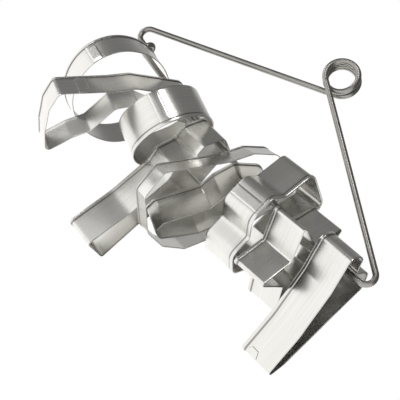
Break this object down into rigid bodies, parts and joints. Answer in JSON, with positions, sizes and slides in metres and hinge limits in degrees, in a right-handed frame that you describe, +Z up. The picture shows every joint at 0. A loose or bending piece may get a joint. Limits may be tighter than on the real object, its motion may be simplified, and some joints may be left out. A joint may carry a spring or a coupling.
{
  "type": "pastry cutter set",
  "caption": "Tin-plate pastry cutters of different outlines threaded on a sprung wire keeper with a coil to hang it by and a clasp to open it.",
  "frame": {"origin": "centre of the keeper's coil, on the coil's axis where the carrying arm leaves it", "axes": "+X along the closing bar towards the plain bend, +Y away from the viewer along the coil's axis, +Z up from the bar to the coil, as the set hangs"},
  "size_m": [0.2006, 0.0716, 0.1707],
  "materials": {
    "spring_wire": "plated steel wire, drawn, semi-bright",
    "tin_plate": "bright tin-plated sheet with rolling marks and small scuffs"
  },
  "bodies": {
    "keeper": {"carrying_wire": "spring_wire", "spring_coil": "spring_wire"},
    "clasp": {"clasp_arm": "spring_wire"},
    "round_cutter": {"round_cutter": "tin_plate"},
    "boot_cutter": {"boot_cutter": "tin_plate"},
    "small_round_cutter": {"small_round_cutter": "tin_plate"},
    "candle_cutter": {"candle_cutter": "tin_plate"},
    "figure_cutter": {"figure_cutter": "tin_plate"},
    "leaf_cutter": {"leaf_cutter": "tin_plate"},
    "flower_cutter": {"flower_cutter": "tin_plate"},
    "star_cutter": {"star_cutter": "tin_plate"},
    "cone_cutter": {"cone_cutter": "tin_plate"}
  },
  "joints": [
    {"name": "clasp_press", "type": "hinge", "parent": "keeper", "child": "clasp", "pos_m": [0, 0, 0], "axis": [0, -1, 0], "range_deg": [0, 3.5], "stiffness_Nm_per_rad": 0.15, "deforming": ["spring_coil"]},
    {"name": "round_cutter_swing", "type": "hinge", "parent": "keeper", "child": "round_cutter", "pos_m": [-0.07414, 0, -0.07101], "axis": [0.9956, 0, -0.094], "range_deg": [-1, 20]},
    {"name": "boot_cutter_swing", "type": "hinge", "parent": "keeper", "child": "boot_cutter", "pos_m": [-0.04657, 0, -0.07312], "axis": [0.9983, 0, -0.059], "range_deg": [-15, 1]},
    {"name": "small_round_cutter_swing", "type": "hinge", "parent": "keeper", "child": "small_round_cutter", "pos_m": [-0.03562, 0, -0.0737], "axis": [0.999, 0, -0.0452], "range_deg": [-2, 6]},
    {"name": "candle_cutter_swing", "type": "hinge", "parent": "keeper", "child": "candle_cutter", "pos_m": [-0.01732, 0, -0.07431], "axis": [0.9998, 0, -0.0219], "range_deg": [-0.5, 3]},
    {"name": "figure_cutter_swing", "type": "hinge", "parent": "keeper", "child": "figure_cutter", "pos_m": [0.02019, 0, -0.07424], "axis": [0.9997, 0, 0.0256], "range_deg": [-3, 1]},
    {"name": "leaf_cutter_swing", "type": "hinge", "parent": "keeper", "child": "leaf_cutter", "pos_m": [0.01787, 0, -0.0743], "axis": [0.9997, 0, 0.0227], "range_deg": [-1, 0.5]},
    {"name": "flower_cutter_swing", "type": "hinge", "parent": "keeper", "child": "flower_cutter", "pos_m": [0.03559, 0, -0.0737], "axis": [0.999, 0, 0.0451], "range_deg": [-1.5, 6]},
    {"name": "star_cutter_swing", "type": "hinge", "parent": "keeper", "child": "star_cutter", "pos_m": [0.05791, 0, -0.07237], "axis": [0.9973, 0, 0.0734], "range_deg": [-2, 5]},
    {"name": "cone_cutter_swing", "type": "hinge", "parent": "keeper", "child": "cone_cutter", "pos_m": [0.08038, 0, -0.0704], "axis": [0.9948, 0, 0.1019], "range_deg": [-15, 2]}
  ]
}
